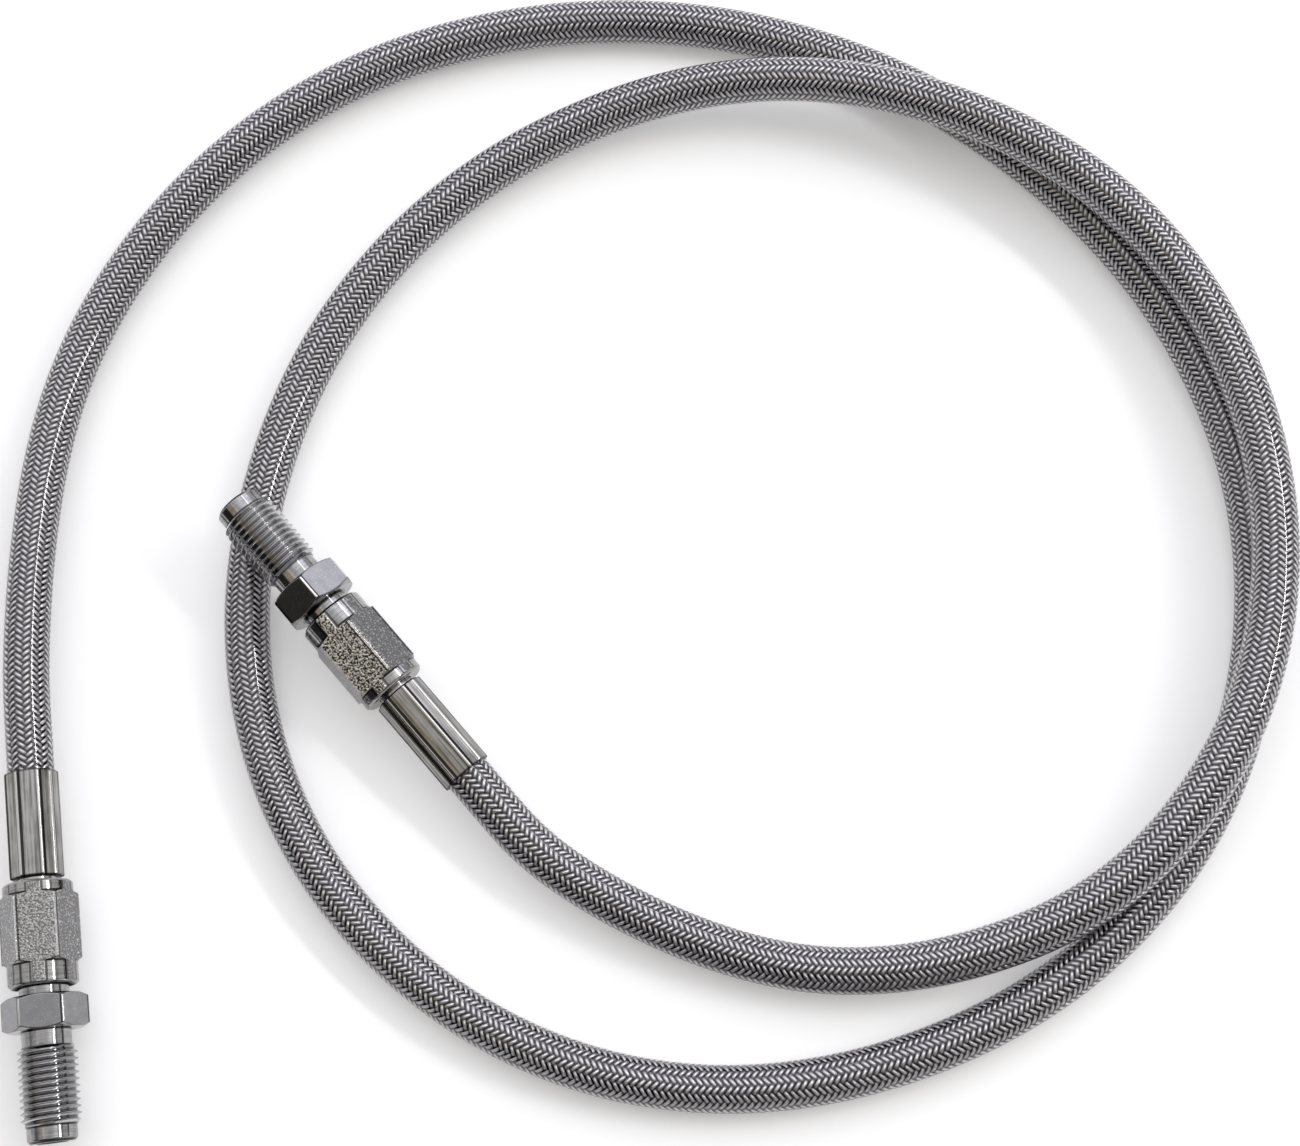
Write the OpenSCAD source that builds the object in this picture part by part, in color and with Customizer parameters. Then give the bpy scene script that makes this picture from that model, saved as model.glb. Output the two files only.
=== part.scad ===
// Braided hydraulic hose assembly: a lined, wire-braided and covered hose lying in
// two open turns, with a crimped swivel-nut fitting and a threaded adapter on each end.
// Millimetres, +Z up, standing on z = 0. Each fitting is drawn along its own +Z,
// from the mouth of its ferrule (0) out to the nose of its adapter.

/* [Hose] */
// Outside diameter of the clear cover
hose_od = 7.6; // [7:0.1:8]
// Wall of the clear cover
cover_wall = 0.2; // [0.15:0.05:0.4]
// Wall of the wire braid
braid_wall = 0.7; // [0.5:0.05:0.8]
// Bore of the inner tube
liner_bore = 3.2; // [3:0.1:3.4]
// Gap between one layer and the next
layer_gap = 0.08; // [0.05:0.01:0.12]
// Length of inner tube and braid inside each ferrule
hose_insert = 14; // [10:0.5:14.5]
// Length of cover inside each ferrule
cover_insert = 2.4; // [1:0.1:3]
// Straight hose just outside each ferrule
straight_out = 8; // [4:1:12]

/* [Ferrule] */
// Length of the ferrule
ferrule_l = 17.5; // [17:0.5:20]
// Wall round the cover, at the corners left between the crimp flats
ferrule_wall = 0.49; // [0.46:0.01:0.9]
// How far the crimp flats lie below those corners
crimp_depth = 0.17; // [0.1:0.01:0.24]
// Number of crimp flats
crimp_flats = 8; // [6:1:10]
// Thickness of the ferrule's end wall
ferrule_end_wall = 2.2; // [1.5:0.1:2.8]
// Radius on the ferrule's two ends
ferrule_round = 0.4; // [0.2:0.05:0.4]

/* [Stem] */
// Bore through the stem
stem_bore = 2; // [1.6:0.1:2.2]
// Outside diameter of the nipple between its barbs
nipple_od = 2.9; // [2.7:0.05:2.95]
// Height of each barb
barb_h = 0.1; // [0.05:0.01:0.12]
// Number of barbs on the nipple
barbs = 5; // [3:1:6]
// Diameter of the groove that the ferrule grips
groove_d = 5.4; // [4.8:0.1:5.8]
// Diameter of the neck that the nut turns on
neck_d = 6.4; // [6.1:0.1:6.6]
// Neck that shows between the ferrule and the nut
neck_gap = 0.7; // [0.5:0.1:1.5]
// Length of the head
head_l = 4.4; // [4.2:0.1:5]
// Flat rim left round the seat's cone on the head's face
seat_rim = 0.4; // [0.3:0.05:0.7]

/* [Swivel nut] */
// Length of the nut
nut_l = 16.7; // [16.5:0.1:18]
// Distance across the nut's flats
nut_af = 11.1; // [11:0.1:11.8]
// Length of the round collar at the hose end
nut_rear_l = 2.4; // [1.5:0.1:3]
// Length of the round collar at the adapter end
nut_front_l = 4.1; // [3:0.1:5]
// How far the round collars stand outside the flats
collar_over = 0.03; // [0.01:0.01:0.1]
// Thickness of the wall that pulls on the stem's head
nut_wall_end = 2.4; // [2:0.1:3]
// Turn of the first nut about its axis
nut_a_turn = 20; // [0:1:59]
// Turn of the second nut about its axis
nut_b_turn = 12; // [0:1:59]

/* [Thread] */
// Outside diameter of the thread
thread_d = 9.525; // [9.3:0.025:9.6]
// Threads in one inch
threads_per_inch = 24; // [20:1:28]
// Gap between the nut's thread and the adapter's
thread_gap = 0.1; // [0.08:0.01:0.12]
// Flats drawn in one turn of the thread
thread_steps = 24; // [16:4:32]

/* [Adapter] */
// Length of the hexagon
hex_l = 5.4; // [4:0.1:7]
// Distance across the hexagon's flats
hex_af = 12; // [11.5:0.1:13]
// Neck that shows between the nut and the hexagon
adapter_neck_l = 1.5; // [1:0.1:2]
// How far the neck, the plain shank and the pilot nose lie below the thread's crests
shank_below = 0.8125; // [0.75:0.0125:0.95]
// Length of the plain shank outside the hexagon
shank_l = 2.5; // [1:0.1:4]
// Length of the thread for the port
port_thread_l = 12.4; // [10:0.1:13]
// Length of the pilot nose
pilot_l = 2.6; // [1.5:0.1:4]
// Bore through the adapter
adapter_bore = 3.2; // [2.4:0.1:3.6]
// Turn of the first adapter about its axis
hex_a_turn = 19; // [0:1:59]
// Turn of the second adapter about its axis
hex_b_turn = 0; // [0:1:59]

/* [Fits] */
// Radial gap of the nut on the stem's neck
neck_fit = 0.08; // [0.05:0.01:0.1]
// Radial gap of the stem's head in the nut's bore
head_fit = 0.11; // [0.06:0.01:0.16]
// Gap between the faces that the joint draws together
seat_gap = 0.1; // [0.08:0.01:0.15]
// Radial gap of the hose and stem in the ferrule
ferrule_fit = 0.06; // [0.05:0.01:0.1]

/* [Hidden] */
$fn = 96;

// The hose's route: control points of a smooth curve on the middle of the hose.
// The first three and the last three lie in line with the two fittings.
route = [
    [-103, -37, 6.6], [-103.3, -23, 6.6], [-103.6, -9, 6.6], [-99, 34.5, 3.8],
    [-79.1, 64.7, 3.8], [-55.4, 83.3, 3.8], [-29.5, 93, 3.8], [0.5, 95, 3.8],
    [31, 88.5, 3.8], [58, 73.5, 3.8], [79.5, 52.5, 3.8], [95.5, 26.5, 3.8],
    [103, -3, 3.8], [100, -33.5, 3.8], [87, -61, 3.8], [64.5, -81.5, 3.8],
    [36, -93, 3.8], [5, -95.5, 3.8], [-24, -87, 3.8], [-48, -68, 3.8],
    [-64, -42, 3.8], [-68.5, -11.5, 3.8], [-62, 18.5, 3.8], [-47.5, 45, 3.8],
    [-24.5, 65.5, 3.8], [4.2, 76.8, 5.2], [33.2, 77, 9.8], [61, 67, 12.2],
    [85.5, 49, 11.4], [101, 23, 11.2], [105.5, -9, 11.4], [98.5, -38.5, 11.8],
    [82.5, -61, 11.8], [59.8, -76.6, 7.8], [18, -80.9, 3.8], [-19, -57.5, 4.9],
    [-27, -46, 6.3], [-35, -34.5, 7.7]
];
// Rings drawn for each step of the route, and corners of each ring
rings = 2;
ring_sides = 12;

// Radii of the hose's layers, from the outside in
cover_r = hose_od / 2;
cover_in = cover_r - cover_wall;
braid_r = cover_in - layer_gap;
braid_in = braid_r - braid_wall;
liner_r = braid_in - layer_gap;
liner_in = liner_bore / 2;

// Places along a fitting, from the ferrule's mouth
ferrule_wall_z = ferrule_l - ferrule_end_wall;
nut_z = ferrule_l + neck_gap;
head_z = nut_z + nut_wall_end + seat_gap;
seat_z = head_z + head_l;
nut_end_z = nut_z + nut_l;
hex_z = nut_end_z + adapter_neck_l;
hex_end_z = hex_z + hex_l;
thread_z = hex_end_z + shank_l;
pilot_z = thread_z + port_thread_l;
nose_z = pilot_z + pilot_l;

// Thread form: 60 degree flanks
thread_r = thread_d / 2;
pitch = 25.4 / threads_per_inch;
thread_depth = 0.6134 * pitch;
thread_root_r = thread_r - thread_depth;
crest_half = pitch / 16;
flank = tan(30);
nut_bore_r = thread_root_r + thread_gap;
shank_r = thread_r - shank_below;
head_r = nut_bore_r - head_fit;
seat_r = head_r - seat_rim;

// The two cones that seal are at 37 degrees to the axis
cone = tan(37);
nose_tip_r = adapter_bore / 2 + 0.4;
cone_land_r = seat_r - 0.1;
cone_tip_z = seat_z - (seat_r - nose_tip_r) / cone + seat_gap;
cone_land_z = cone_tip_z + (cone_land_r - nose_tip_r) / cone;
inner_thread_z = seat_z + 0.9;
inner_thread_end_z = nut_end_z - 1.2;

nut_collar_r = nut_af / 2 + collar_over;
nut_corner_r = nut_af / sqrt(3);
hex_corner_r = hex_af / sqrt(3);
chamfer_slope = tan(30);
// How far a turned chamfer's outline runs on past the corners that it cuts
past_corner = 0.5;

// Ends of the route, as directions out along the two fittings
function unit(v) = v / norm(v);
last = len(route) - 1;
dir_a = unit(route[0] - route[2]);
dir_b = unit(route[last] - route[last - 2]);
mouth_a = route[1] + straight_out * dir_a;
mouth_b = route[last - 1] + straight_out * dir_b;

// Point on the route at u from 0 to 1 on step i, by a uniform cubic B-spline
function route_point(i, u) =
    (pow(1 - u, 3) * route[i]
    + (3 * pow(u, 3) - 6 * pow(u, 2) + 4) * route[i + 1]
    + (-3 * pow(u, 3) + 3 * pow(u, 2) + 3 * u + 1) * route[i + 2]
    + pow(u, 3) * route[i + 3]) / 6;
spans = len(route) - 3;
curve = [
    for (i = [0 : spans - 1], k = [0 : rings - 1]) route_point(i, k / rings),
    route_point(spans - 1, 1)
];
// The middle line of a layer that reaches the given length into both ferrules
function middle_line(insert) = concat(
    [mouth_a + insert * dir_a],
    curve,
    [mouth_b + insert * dir_b]
);
function heading(line, i) =
    unit(line[min(i + 1, len(line) - 1)] - line[max(i - 1, 0)]);
// Direction to the side of the hose, level with the floor
function side_of(dir) = unit(cross([0, 0, 1], dir));
function ring(centre, dir, r) = [
    for (k = [0 : ring_sides - 1])
        let (turn = k * 360 / ring_sides, side = side_of(dir))
            centre + r * (cos(turn) * side + sin(turn) * cross(dir, side))
];

// A closed pipe round a line: outer corners lie on r_out, inner flats touch r_in
module pipe(line, r_out, r_in) {
    count = len(line);
    inner_corner_r = r_in / cos(180 / ring_sides);
    outer = [for (i = [0 : count - 1]) each ring(line[i], heading(line, i), r_out)];
    inner = [for (i = [0 : count - 1]) each ring(line[i], heading(line, i), inner_corner_r)];
    shift = count * ring_sides;
    end = (count - 1) * ring_sides;
    // Corner k of ring i
    function at(i, k) = i * ring_sides + (k % ring_sides);
    walls = [
        for (i = [0 : count - 2], k = [0 : ring_sides - 1]) each [
            [at(i, k), at(i + 1, k), at(i + 1, k + 1)],
            [at(i, k), at(i + 1, k + 1), at(i, k + 1)],
            [shift + at(i, k), shift + at(i + 1, k + 1), shift + at(i + 1, k)],
            [shift + at(i, k), shift + at(i, k + 1), shift + at(i + 1, k + 1)]
        ]
    ];
    caps = [
        for (k = [0 : ring_sides - 1]) each [
            [at(0, k), at(0, k + 1), shift + at(0, k + 1)],
            [at(0, k), shift + at(0, k + 1), shift + at(0, k)],
            [end + at(0, k), end + shift + at(0, k + 1), end + at(0, k + 1)],
            [end + at(0, k), end + shift + at(0, k), end + shift + at(0, k + 1)]
        ]
    ];
    polyhedron(points = concat(outer, inner), faces = concat(walls, caps), convexity = 10);
}

// A right-handed helical cutter from z0 to z1, with a section given as
// [radius, height] corners in order round it; its middle passes z0 at angle 0
module helix_cutter(section, z0, z1) {
    corners = len(section);
    steps = ceil((z1 - z0) / pitch * thread_steps);
    points = [
        for (i = [0 : steps], p = section)
            let (turn = i * 360 / thread_steps)
                [p[0] * cos(turn), p[0] * sin(turn), z0 + pitch * i / thread_steps + p[1]]
    ];
    function at(i, k) = i * corners + (k % corners);
    walls = [
        for (i = [0 : steps - 1], k = [0 : corners - 1]) each [
            [at(i, k), at(i + 1, k + 1), at(i, k + 1)],
            [at(i, k), at(i + 1, k), at(i + 1, k + 1)]
        ]
    ];
    first = [for (k = [0 : corners - 1]) at(0, k)];
    final = [for (k = [corners - 1 : -1 : 0]) at(steps, k)];
    polyhedron(points = points, faces = concat(walls, [first], [final]), convexity = 10);
}

// Half the width of the male thread's ridge at radius r
function ridge_half(r) = crest_half + (thread_r - r) * flank;

// Groove of a male thread, cut into a bar of diameter thread_d
module male_groove(z0, z1) {
    outside = thread_r + 0.08;
    root_half = pitch / 2 - ridge_half(thread_root_r);
    mouth_half = pitch / 2 - ridge_half(outside);
    helix_cutter(
        [
            [thread_root_r, -root_half], [thread_root_r, root_half],
            [outside, mouth_half], [outside, -mouth_half]
        ],
        z0, z1
    );
}

// Groove of the nut's thread, cut outwards from its bore
module female_groove(z0, z1) {
    inside = nut_bore_r - 0.05;
    tip_r = (thread_r + thread_gap) / cos(180 / thread_steps);
    inside_half = ridge_half(inside) + thread_gap;
    tip_half = ridge_half(tip_r) + thread_gap;
    helix_cutter(
        [
            [inside, -inside_half], [inside, inside_half],
            [tip_r, tip_half], [tip_r, -tip_half]
        ],
        z0, z1
    );
}

// Places a fitting's own +Z along dir from a point
module along(point, dir) {
    translate(point)
        rotate([0, acos(dir[2]), atan2(dir[1], dir[0])])
            children();
}

// Hexagonal bar, turned at both ends to a 30 degree chamfer
module hexagon(z, l, af, turn) {
    corner_r = af / sqrt(3);
    flat_r = af / 2 - 0.1;
    outside = corner_r + past_corner;
    drop = (outside - flat_r) * chamfer_slope;
    intersection() {
        translate([0, 0, z])
            rotate([0, 0, turn])
                cylinder(r = corner_r, h = l, $fn = 6);
        rotate_extrude()
            polygon([
                [0, z], [flat_r, z], [outside, z + drop],
                [outside, z + l - drop], [flat_r, z + l], [0, z + l]
            ]);
    }
}

module stem() {
    nipple_r = nipple_od / 2;
    bore_r = stem_bore / 2;
    groove_r = groove_d / 2;
    neck_r = neck_d / 2;
    tip_z = ferrule_wall_z - hose_insert + 1.5;
    groove_z = ferrule_wall_z + 0.2;
    groove_end_z = ferrule_l + ferrule_fit;
    seat_depth = (seat_r - bore_r) / cone;
    barb_step = (groove_z - tip_z - 1) / barbs;
    barb_points = [
        for (k = [0 : barbs - 1]) each [
            [nipple_r, tip_z + barb_step * k],
            [nipple_r + barb_h, tip_z + barb_step * (k + 0.7)],
            [nipple_r, tip_z + barb_step * (k + 0.7)]
        ]
    ];
    rotate_extrude()
        polygon(concat(
            [[bore_r, tip_z]],
            barb_points,
            [
                [nipple_r, groove_z], [groove_r, groove_z],
                [groove_r, groove_end_z], [neck_r, groove_end_z],
                [neck_r, head_z], [head_r, head_z],
                [head_r, seat_z], [seat_r, seat_z],
                [bore_r, seat_z - seat_depth]
            ]
        ));
}

module ferrule() {
    mouth_r = cover_r + ferrule_fit;
    outer_r = mouth_r + ferrule_wall;
    braid_bore_r = braid_r + ferrule_fit;
    hole_r = groove_d / 2 + ferrule_fit;
    step_z = cover_insert + 0.2;
    quarter = [0 : 15 : 90];
    mouth_round = [
        for (a = quarter) [
            outer_r - ferrule_round * (1 - sin(a)),
            ferrule_round * (1 - cos(a))
        ]
    ];
    end_round = [
        for (a = quarter) [
            outer_r - ferrule_round * (1 - cos(a)),
            ferrule_l - ferrule_round * (1 - sin(a))
        ]
    ];
    intersection() {
        rotate_extrude()
            polygon(concat(
                mouth_round,
                end_round,
                [
                    [hole_r, ferrule_l], [hole_r, ferrule_wall_z + 0.3],
                    [braid_bore_r, ferrule_wall_z + 0.3], [braid_bore_r, step_z],
                    [mouth_r, step_z], [mouth_r, 0]
                ]
            ));
        cylinder(
            r = (outer_r - crimp_depth) / cos(180 / crimp_flats),
            h = ferrule_l,
            $fn = crimp_flats
        );
    }
}

module swivel_nut(turn) {
    hex_start = nut_z + nut_rear_l;
    hex_stop = nut_end_z - nut_front_l;
    outside = nut_corner_r + past_corner;
    rise = (nut_corner_r - nut_collar_r) * chamfer_slope;
    rise_past = past_corner * chamfer_slope;
    end_chamfer = 0.4;
    wall_z = nut_z + nut_wall_end;
    neck_hole_r = neck_d / 2 + neck_fit;
    difference() {
        intersection() {
            translate([0, 0, nut_z])
                rotate([0, 0, turn])
                    cylinder(r = nut_corner_r, h = nut_l, $fn = 6);
            rotate_extrude()
                polygon([
                    [0, nut_z],
                    [nut_collar_r - end_chamfer, nut_z],
                    [nut_collar_r, nut_z + end_chamfer],
                    [nut_collar_r, hex_start - rise],
                    [outside, hex_start + rise_past],
                    [outside, hex_stop - rise_past],
                    [nut_collar_r, hex_stop + rise],
                    [nut_collar_r, nut_end_z - end_chamfer],
                    [nut_collar_r - end_chamfer, nut_end_z],
                    [0, nut_end_z]
                ]);
        }
        translate([0, 0, nut_z - 1])
            cylinder(r = neck_hole_r, h = nut_wall_end + 2);
        translate([0, 0, wall_z])
            cylinder(r = nut_bore_r, h = nut_l);
        translate([0, 0, nut_end_z - end_chamfer])
            cylinder(r1 = thread_r - 0.1, r2 = thread_r + end_chamfer, h = end_chamfer + 0.01);
        female_groove(inner_thread_z - pitch, nut_end_z + pitch);
    }
}

module adapter(turn) {
    bore_r = adapter_bore / 2;
    run_in = thread_r - thread_root_r;
    nose_chamfer = 0.5;
    difference() {
        union() {
            rotate_extrude()
                polygon([
                    [0, cone_tip_z], [nose_tip_r, cone_tip_z],
                    [cone_land_r, cone_land_z], [cone_land_r, inner_thread_z],
                    [thread_root_r, inner_thread_z], [thread_r, inner_thread_z + run_in],
                    [thread_r, inner_thread_end_z - run_in], [thread_root_r, inner_thread_end_z],
                    [shank_r, inner_thread_end_z], [shank_r, hex_z + 1],
                    [0, hex_z + 1]
                ]);
            hexagon(hex_z, hex_l, hex_af, turn);
            rotate_extrude()
                polygon([
                    [0, hex_end_z - 1], [shank_r, hex_end_z - 1],
                    [shank_r, thread_z], [thread_r, thread_z],
                    [thread_r, pilot_z], [shank_r, pilot_z],
                    [shank_r, nose_z - nose_chamfer], [shank_r - nose_chamfer, nose_z],
                    [0, nose_z]
                ]);
        }
        translate([0, 0, cone_tip_z - 1])
            cylinder(r = bore_r, h = nose_z - cone_tip_z + 2);
        translate([0, 0, nose_z - 1])
            cylinder(r1 = bore_r, r2 = bore_r + 1, h = 1.01);
        // The inner groove lies half a pitch from the ridge that the nut's groove takes
        male_groove(inner_thread_z - pitch / 2 - pitch, inner_thread_end_z + pitch / 2);
        male_groove(thread_z - pitch, pilot_z + pitch);
    }
}

module hose_liner() {
    color([0.13, 0.13, 0.14])
        pipe(middle_line(hose_insert), liner_r, liner_in);
}
module hose_braid() {
    color("silver")
        pipe(middle_line(hose_insert), braid_r, braid_in);
}
module hose_cover() {
    color([0.78, 0.78, 0.82, 0.4])
        pipe(middle_line(cover_insert), cover_r, cover_in);
}
module stem_a() {
    color("lightgray")
        along(mouth_a, dir_a) stem();
}
module stem_b() {
    color("lightgray")
        along(mouth_b, dir_b) stem();
}
module ferrule_a() {
    color([0.72, 0.7, 0.65])
        along(mouth_a, dir_a) ferrule();
}
module ferrule_b() {
    color([0.72, 0.7, 0.65])
        along(mouth_b, dir_b) ferrule();
}
module swivel_nut_a() {
    color([0.6, 0.6, 0.6])
        along(mouth_a, dir_a) swivel_nut(nut_a_turn);
}
module swivel_nut_b() {
    color([0.6, 0.6, 0.6])
        along(mouth_b, dir_b) swivel_nut(nut_b_turn);
}
module adapter_a() {
    color([0.75, 0.75, 0.77])
        along(mouth_a, dir_a) adapter(hex_a_turn);
}
module adapter_b() {
    color([0.75, 0.75, 0.77])
        along(mouth_b, dir_b) adapter(hex_b_turn);
}

hose_liner();
hose_braid();
hose_cover();
stem_a();
stem_b();
ferrule_a();
ferrule_b();
swivel_nut_a();
swivel_nut_b();
adapter_a();
adapter_b();
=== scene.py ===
# A braided hydraulic hose lying in two open turns, with a crimped ferrule, a swivel nut
# and a threaded adapter on each end. Metres, +Z up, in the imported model's own frame.
import math

import bmesh
import bpy
from mathutils import Matrix, Quaternion, Vector


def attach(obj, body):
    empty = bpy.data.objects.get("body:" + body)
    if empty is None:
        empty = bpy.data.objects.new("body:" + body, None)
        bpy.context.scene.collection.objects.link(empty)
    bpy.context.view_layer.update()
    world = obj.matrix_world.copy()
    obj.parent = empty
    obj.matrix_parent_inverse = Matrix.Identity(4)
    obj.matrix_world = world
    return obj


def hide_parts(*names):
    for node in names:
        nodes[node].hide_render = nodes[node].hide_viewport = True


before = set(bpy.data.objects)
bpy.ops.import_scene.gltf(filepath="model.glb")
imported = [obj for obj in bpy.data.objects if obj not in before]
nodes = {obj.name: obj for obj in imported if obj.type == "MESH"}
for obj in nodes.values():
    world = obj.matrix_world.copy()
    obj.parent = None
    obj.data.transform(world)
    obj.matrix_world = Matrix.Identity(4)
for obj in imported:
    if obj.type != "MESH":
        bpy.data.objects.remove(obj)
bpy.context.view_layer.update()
scene = bpy.context.scene
scene.view_settings.view_transform = "Standard"


# ---- Camera -------------------------------------------------------------------------
# A normal lens on a stand over the table, a little toward the viewer's side, turned so
# that the first fitting leans slightly off the frame's edge.
MM = 0.001
AIM = Vector((1.35, -7.7, 0)) * MM
CAMERA_DISTANCE = 380 * MM
CAMERA_TILT = math.radians(14.5)
CAMERA_SIDE = math.radians(3)
CAMERA_TURN = math.radians(-6.876)

back = Vector((
    math.sin(CAMERA_SIDE) * math.cos(CAMERA_TILT),
    -math.sin(CAMERA_TILT),
    math.cos(CAMERA_TILT) * math.cos(CAMERA_SIDE),
)).normalized()
right = (Vector((1, 0, 0)) - back * back.x).normalized()
camera_turn = Matrix.Rotation(CAMERA_TURN, 4, "Z")
camera_axes = Matrix((right, back.cross(right), back)).transposed().to_4x4()
camera = bpy.data.objects.new("camera", bpy.data.cameras.new("camera"))
camera.data.lens = 62.4
camera.data.sensor_width = 36
camera.data.sensor_fit = "HORIZONTAL"
camera.data.clip_start = 0.01
camera.matrix_world = (
    Matrix.Translation(AIM + camera_turn.to_3x3() @ back * CAMERA_DISTANCE)
    @ camera_turn
    @ camera_axes
)
scene.collection.objects.link(camera)
scene.camera = camera


# ---- Line of the hose ----------------------------------------------------------------
# The middle of the hose: a smooth curve through the table lay, straight where it leaves
# each ferrule. Every layer of the hose is made straight and then bent along it.
ROUTE = [
    (-103, -37, 6.6), (-103.3, -23, 6.6), (-103.6, -9, 6.6), (-99, 34.5, 3.8),
    (-79.1, 64.7, 3.8), (-55.4, 83.3, 3.8), (-29.5, 93, 3.8), (0.5, 95, 3.8),
    (31, 88.5, 3.8), (58, 73.5, 3.8), (79.5, 52.5, 3.8), (95.5, 26.5, 3.8),
    (103, -3, 3.8), (100, -33.5, 3.8), (87, -61, 3.8), (64.5, -81.5, 3.8),
    (36, -93, 3.8), (5, -95.5, 3.8), (-24, -87, 3.8), (-48, -68, 3.8),
    (-64, -42, 3.8), (-68.5, -11.5, 3.8), (-62, 18.5, 3.8), (-47.5, 45, 3.8),
    (-24.5, 65.5, 3.8), (4.2, 76.8, 5.2), (33.2, 77, 9.8), (61, 67, 12.2),
    (85.5, 49, 11.4), (101, 23, 11.2), (105.5, -9, 11.4), (98.5, -38.5, 11.8),
    (82.5, -61, 11.8), (59.8, -76.6, 7.8), (18, -80.9, 3.8), (-19, -57.5, 4.9),
    (-27, -46, 6.3), (-35, -34.5, 7.7),
]
STRAIGHT_OUT = 8 * MM
HOSE_INSERT = 14 * MM

route = [Vector(point) * MM for point in ROUTE]
step_a = route[0] - route[1]
step_b = route[-1] - route[-2]
dir_a = step_a.normalized()
dir_b = step_b.normalized()
mouth_a = route[1] + dir_a * STRAIGHT_OUT
mouth_b = route[-2] + dir_b * STRAIGHT_OUT


def smooth_line(name, points):
    """A uniform cubic spline from beside its second point to beside its last but one."""
    data = bpy.data.curves.new(name, "CURVE")
    data.dimensions = "3D"
    data.resolution_u = 24
    data.twist_mode = "Z_UP"
    spline = data.splines.new("NURBS")
    spline.points.add(len(points) - 1)
    for place, point in zip(spline.points, points):
        place.co = (*point, 1)
        place.radius = 1
    spline.order_u = 4
    line = bpy.data.objects.new(name, data)
    scene.collection.objects.link(line)
    return line


hose_line = smooth_line(
    "hose_line",
    [route[0] + 2 * step_a, route[0] + step_a, *route, route[-1] + step_b, route[-1] + 2 * step_b],
)
line_points = [v.co.copy() for v in bpy.data.meshes.new_from_object(hose_line).vertices]
line_length = sum((two - one).length for one, two in zip(line_points, line_points[1:]))
# How far along the line each ferrule's mouth lies
along_a = (mouth_a - line_points[0]).length
along_b = line_length - (mouth_b - line_points[-1]).length


def put_in_order(shape):
    """Stores verts and faces by their place, so that every run gives the same mesh."""
    for index, vert in enumerate(sorted(shape.verts, key=lambda v: v.co[:])):
        vert.index = index
    shape.verts.sort()
    by_verts = sorted(shape.faces, key=lambda f: sorted(v.index for v in f.verts))
    for index, face in enumerate(by_verts):
        face.index = index
    shape.faces.sort()


def new_piece(name, shape):
    """A smooth-shaded object with the mesh of a bmesh, which it uses up."""
    put_in_order(shape)
    mesh = bpy.data.meshes.new(name)
    shape.to_mesh(mesh)
    shape.free()
    mesh.shade_smooth()
    piece = bpy.data.objects.new(name, mesh)
    scene.collection.objects.link(piece)
    return piece


def apply_modifiers(piece):
    """Turns a piece's modifiers into plain mesh."""
    graph = bpy.context.evaluated_depsgraph_get()
    done = bpy.data.meshes.new_from_object(piece.evaluated_get(graph))
    done.name = piece.name
    piece.modifiers.clear()
    piece.data = done


def bend_to_line(piece):
    """Bends a piece made straight along X, measured from the line's start, along the line."""
    bend = piece.modifiers.new("bend", "CURVE")
    bend.object = hose_line
    bend.deform_axis = "POS_X"
    apply_modifiers(piece)


def finish_with(piece, material):
    piece.data.materials.clear()
    piece.data.materials.append(material)


def new_material(name, **values):
    """A material, its tree and its Principled shader, with values set on the shader's sockets."""
    material = bpy.data.materials.new(name)
    material.use_nodes = True
    tree = material.node_tree
    bsdf = tree.nodes["Principled BSDF"]
    for socket, value in values.items():
        bsdf.inputs[socket.replace("_", " ")].default_value = value
    return material, tree, bsdf


# ---- Inner tube ----------------------------------------------------------------------
# A smooth black tube of fluoropolymer, which carries the fluid. Its black shows between
# the wires and stands in for their shade, and it ends on the barbs of the two stems.
LINER_R = 2.74 * MM
LINER_BORE_R = 1.6 * MM
RING_STEP = 2.5 * MM


def straight_tube(start, stop, radius, sides):
    """An open-ended tube along X with rings close enough together to bend."""
    shape = bmesh.new()
    length = stop - start
    bmesh.ops.create_cone(
        shape, cap_ends=False, segments=sides, radius1=radius, radius2=radius, depth=length,
    )
    lengthwise = [e for e in shape.edges if abs(e.verts[0].co.z - e.verts[1].co.z) > length / 2]
    bmesh.ops.subdivide_edges(
        shape, edges=lengthwise, cuts=int(length / RING_STEP), use_grid_fill=True,
    )
    bmesh.ops.rotate(shape, verts=shape.verts, matrix=Matrix.Rotation(math.radians(90), 3, "Y"))
    bmesh.ops.translate(shape, verts=shape.verts, vec=((start + stop) / 2, 0, 0))
    bmesh.ops.recalc_face_normals(shape, faces=shape.faces)
    return shape


def add_wall(piece, thickness):
    """Makes a thin tube's skin into a wall that lies inside it, closed at both ends."""
    wall = piece.modifiers.new("wall", "SOLIDIFY")
    wall.thickness = thickness
    wall.offset = -1


# The tube's black also stands in for the shade in the braid's gaps
black_liner, *_ = new_material(
    "black_liner_and_gap_shade", Base_Color=(0.018, 0.018, 0.02, 1), Roughness=0.42,
)
liner = new_piece(
    "inner_tube", straight_tube(along_a - HOSE_INSERT, along_b + HOSE_INSERT, LINER_R, 24),
)
add_wall(liner, LINER_R - LINER_BORE_R)
bend_to_line(liner)
finish_with(liner, black_liner)
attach(liner, "hose")
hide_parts("hose_liner")


# ---- Braid ---------------------------------------------------------------------------
# Thirty-two flat bundles of fine bright wire, half wound each way round the inner tube.
# Each passes over two and under two, which lines their humps up in rows along the hose.
CARRIERS_EACH_WAY = 16
REPEATS = 518
BRAID_R = 3.52 * MM
HUMP = 0.19 * MM
BUNDLE_W = 0.78 * MM
# The bundle's section, as half widths across and depth below its crown in millimetres
SECTION = [(-1, -0.2), (-0.45, -0.045), (0, 0), (0.45, -0.045), (1, -0.2), (0, -0.33)]
# Places along one repeat, counted in crossings
STATIONS = [0, 0.5, 1, 1.5, 2, 3, 3.5, 4]

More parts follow.
